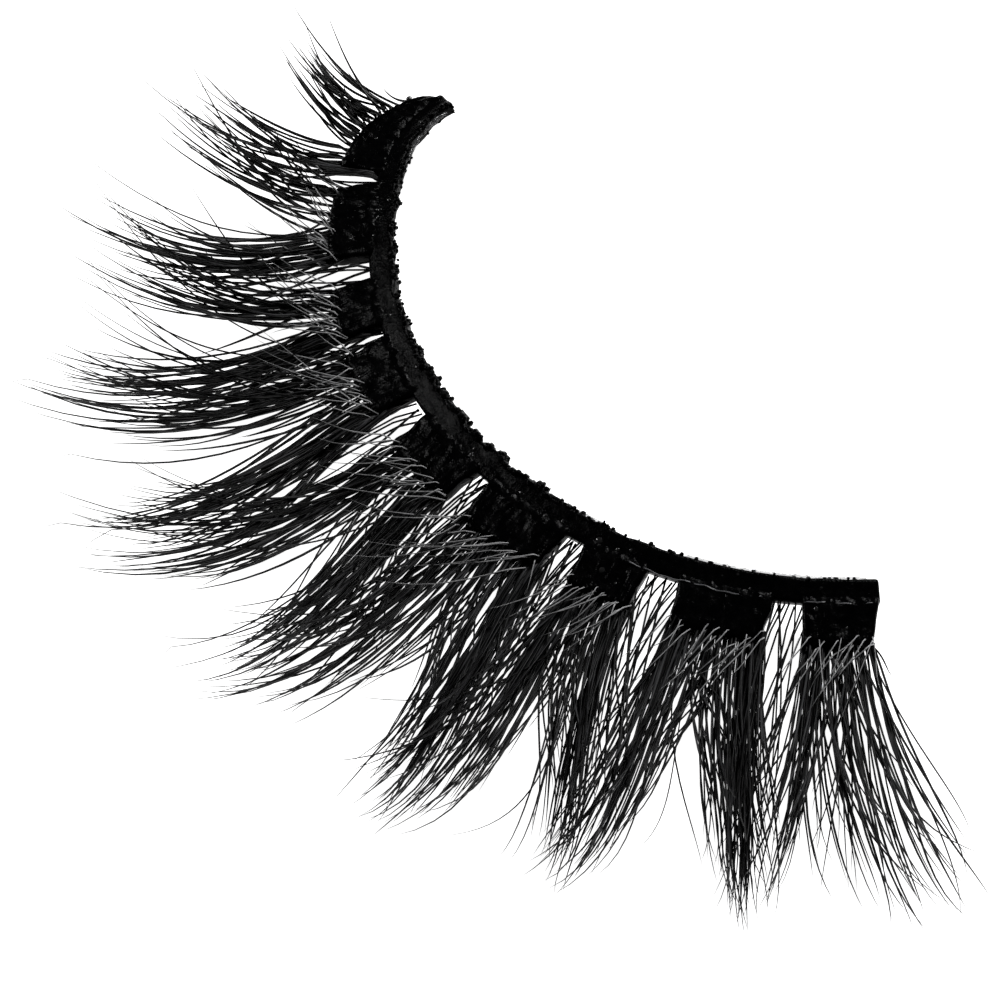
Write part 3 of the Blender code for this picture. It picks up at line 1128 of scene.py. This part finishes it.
class LASHES_OT_table(bpy.types.Operator):
    """Make the table, the lights and the camera."""

    bl_idname = "lashes.table"
    bl_label = "Table, lights and camera"

    def execute(self, context):
        sizes = context.scene.table_sizes
        deselect_all()
        bpy.ops.mesh.primitive_plane_add(size=TABLE_SIDE, location=(0, 0, -TABLE_DROP))
        table = bpy.context.object
        table.name = "table"
        board = Board("white table")
        cloud = board.grain(board.own_place(), 40)
        white = tuple(sizes.white)
        board.shader.inputs["Emission Strength"].default_value = 1.0
        table.data.materials.append(board.surface(
            Base_Color=board.mixed(cloud, white, tuple(c * 0.985 for c in white)),
            Emission_Color=(1.0, 1.0, 1.0, 1.0),
            Roughness=0.7,
        ))

        world = bpy.data.worlds.new("soft white room")
        context.scene.world = world
        world.use_nodes = True
        background = world.node_tree.nodes["Background"]
        background.inputs["Color"].default_value = (1, 1, 1, 1)
        background.inputs["Strength"].default_value = 0.03
        for row in SOFTBOXES:
            self.softbox(*row)

        target = Vector(VIEW_TARGET) + Vector(SHIFT)
        turn, tilt = sizes.azimuth, sizes.elevation
        back = Vector((
            math.sin(turn) * math.cos(tilt),
            -math.cos(turn) * math.cos(tilt),
            math.sin(tilt),
        ))
        lens = bpy.data.cameras.new("camera")
        lens.lens = 200
        lens.sensor_width = 36
        lens.clip_start = 0.01
        lens.clip_end = 10
        camera = bpy.data.objects.new("camera", lens)
        camera.location = target + back * sizes.distance
        camera.rotation_mode = "QUATERNION"
        camera.rotation_quaternion = back.to_track_quat("Z", "Y")
        context.scene.collection.objects.link(camera)
        context.scene.camera = camera
        context.scene.view_settings.view_transform = "Standard"
        return {"FINISHED"}

    def softbox(self, name, place, size, power):
        """A square light that faces the strip."""
        lamp = bpy.data.lights.new(name, "AREA")
        lamp.shape = "SQUARE"
        lamp.size = size
        lamp.energy = power
        holder = bpy.data.objects.new(name, lamp)
        holder.location = place
        holder.rotation_mode = "QUATERNION"
        holder.rotation_quaternion = Vector(place).to_track_quat("Z", "Y")
        bpy.context.scene.collection.objects.link(holder)


class LASHES_PT_strip(bpy.types.Panel):
    """Sizes of the strip and the buttons that make it."""

    bl_label = "False eyelash strip"
    bl_idname = "LASHES_PT_strip"
    bl_space_type = "VIEW_3D"
    bl_region_type = "UI"
    bl_category = "Lashes"

    def draw(self, context):
        scene = context.scene
        for group, names in (
            (scene.lash_sizes, (
                "fibre_width", "down_width", "crossing", "bridges", "web", "gap_fibres", "loose",
                "curled", "down", "black", "painted_glint_grey",
            )),
            (scene.root_sizes, (
                "ridge", "pad_taper", "stubs", "specks", "glue_black", "film_grey",
            )),
            (scene.table_sizes, ("azimuth", "elevation", "distance", "white")),
        ):
            box = self.layout.box()
            for name in names:
                box.prop(group, name)
        for operator in OPERATORS:
            self.layout.operator(operator.bl_idname)


OPERATORS = (LASHES_OT_fibres, LASHES_OT_roots, LASHES_OT_band, LASHES_OT_glue, LASHES_OT_table)
GROUPS = {"lash_sizes": LashSizes, "root_sizes": RootSizes, "table_sizes": TableSizes}


def register():
    for item in (*GROUPS.values(), *OPERATORS, LASHES_PT_strip):
        bpy.utils.register_class(item)
    for name, group in GROUPS.items():
        setattr(bpy.types.Scene, name, bpy.props.PointerProperty(type=group))


def unregister():
    for name in GROUPS:
        delattr(bpy.types.Scene, name)
    for item in reversed((*GROUPS.values(), *OPERATORS, LASHES_PT_strip)):
        bpy.utils.unregister_class(item)


def main():
    register()
    bpy.ops.lashes.fibres()
    bpy.ops.lashes.roots()
    bpy.ops.lashes.band()
    bpy.ops.lashes.glue()
    bpy.ops.lashes.table()


if __name__ == "__main__":
    main()
